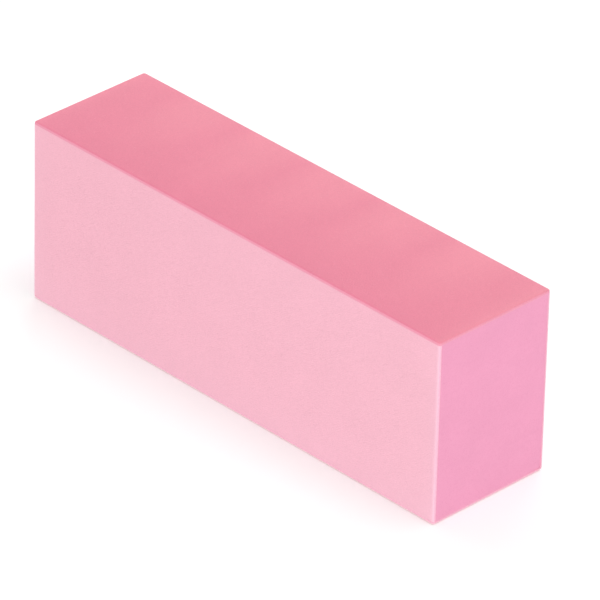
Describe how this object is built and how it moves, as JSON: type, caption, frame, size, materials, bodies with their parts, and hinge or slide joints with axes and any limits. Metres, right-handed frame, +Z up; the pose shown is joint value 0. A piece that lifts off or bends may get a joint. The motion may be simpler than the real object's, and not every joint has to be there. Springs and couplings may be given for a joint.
{
  "type": "nail buffer block",
  "caption": "Rectangular foam sanding block for buffing nails, with a fine abrasive sheet bonded to each long side, pale pink on the wide sides, coral on the narrow, foam ends bare.",
  "frame": {"origin": "middle of the narrow side that the block stands on", "axes": "+X along the block, +Y from the front wide side to the back wide side, +Z up"},
  "size_m": [0.095, 0.025, 0.034],
  "materials": {
    "foam": "matte",
    "adhesive": "satin",
    "wide_backing": "matte",
    "wide_grit": "matte",
    "narrow_backing": "matte",
    "narrow_grit": "matte"
  },
  "bodies": {
    "root": {"foam_core": "foam", "front_adhesive_film": "adhesive", "front_backing_sheet": "wide_backing", "front_grit_coat": "wide_grit", "back_adhesive_film": "adhesive", "back_backing_sheet": "wide_backing", "back_grit_coat": "wide_grit", "bottom_adhesive_film": "adhesive", "bottom_backing_sheet": "narrow_backing", "bottom_grit_coat": "narrow_grit", "top_adhesive_film": "adhesive", "top_backing_sheet": "narrow_backing", "top_grit_coat": "narrow_grit"}
  },
  "joints": []
}
